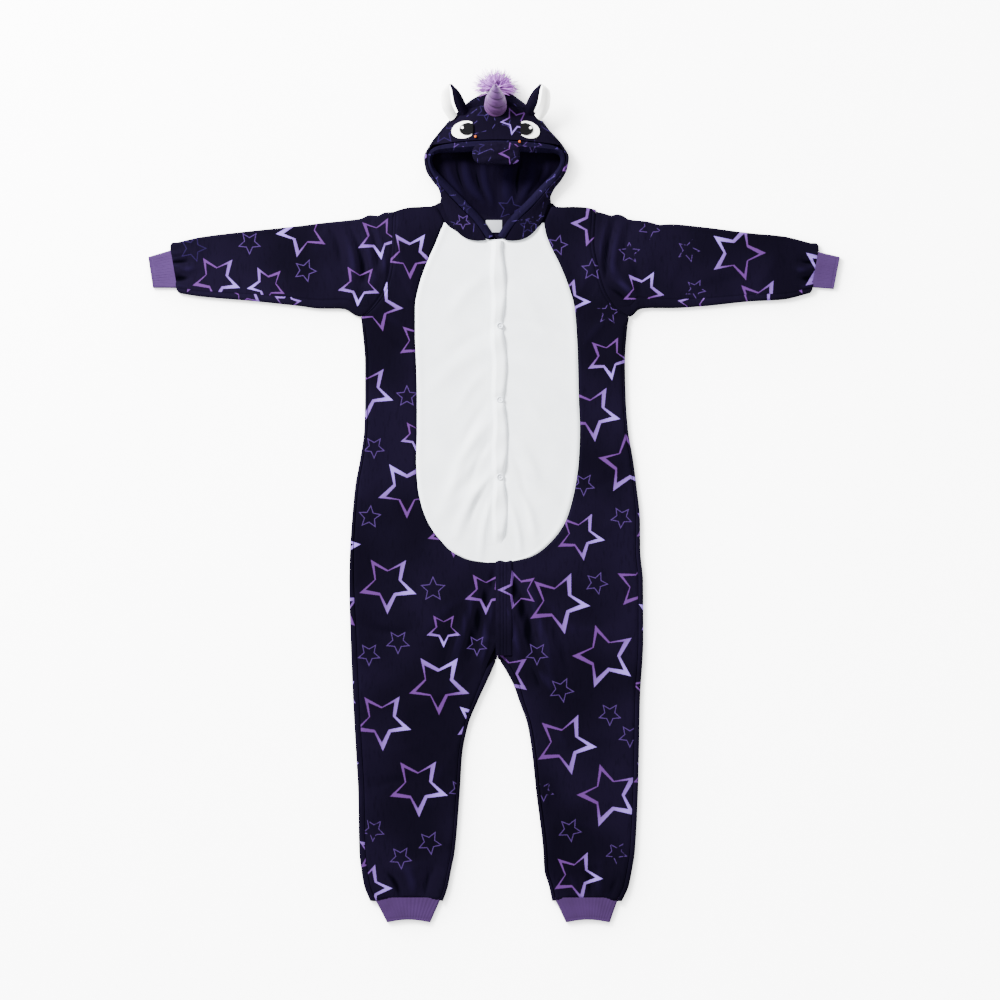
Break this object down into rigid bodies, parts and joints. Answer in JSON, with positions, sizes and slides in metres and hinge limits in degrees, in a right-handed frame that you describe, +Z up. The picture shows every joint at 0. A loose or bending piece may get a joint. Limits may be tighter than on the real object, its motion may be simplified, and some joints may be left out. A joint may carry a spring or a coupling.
{
  "type": "child's unicorn onesie",
  "caption": "Hooded animal onesie laid flat, with set-in sleeves, ribbed cuffs, a snap placket, ears, a horn and a forelock tuft.",
  "frame": {"origin": "centre of the bounding box's base, on the surface the onesie lies on", "axes": "+Z up off the surface; +Y from the legs to the hood; +X towards the sleeve on the viewer's right, seen from above with the hood away"},
  "size_m": [1.2443, 1.5288, 0.0955],
  "materials": {
    "printed_fleece": "navy velvet fleece printed with purple stars",
    "plain_fleece": "plain navy velvet fleece",
    "white_plush": "short white plush",
    "rib_knit": "purple rib knit",
    "horn_plush": "light purple satin plush",
    "long_pile": "lilac long pile",
    "white_felt": "white felt",
    "black_felt": "black felt",
    "snap_plastic": "white moulded snap cap",
    "bead_plastic": "orange bead",
    "woven_label": "blank woven ribbon"
  },
  "bodies": {
    "root": {"back_left": "printed_fleece", "back_right": "printed_fleece", "front_left": "printed_fleece", "front_right": "printed_fleece", "sleeve_left": "printed_fleece", "sleeve_right": "printed_fleece", "hood_left": "printed_fleece", "hood_right": "printed_fleece", "hood_face": "printed_fleece", "hood_binding": "printed_fleece", "placket_lower": "printed_fleece", "ear_outer_left": "plain_fleece", "ear_outer_right": "plain_fleece", "snout": "printed_fleece", "belly_left": "white_plush", "belly_right": "white_plush", "placket": "white_plush", "wrist_cuff_left": "rib_knit", "wrist_cuff_right": "rib_knit", "ankle_cuff_left": "rib_knit", "ankle_cuff_right": "rib_knit", "ear_inner_left": "white_felt", "ear_inner_right": "white_felt", "eye_white_left": "white_felt", "eye_white_right": "white_felt", "pupil_left": "black_felt", "pupil_right": "black_felt", "horn": "horn_plush", "mane_tuft": "long_pile", "snap_1": "snap_plastic", "snap_2": "snap_plastic", "snap_3": "snap_plastic", "bead_1": "bead_plastic", "bead_2": "bead_plastic", "neck_label": "woven_label"}
  },
  "joints": []
}
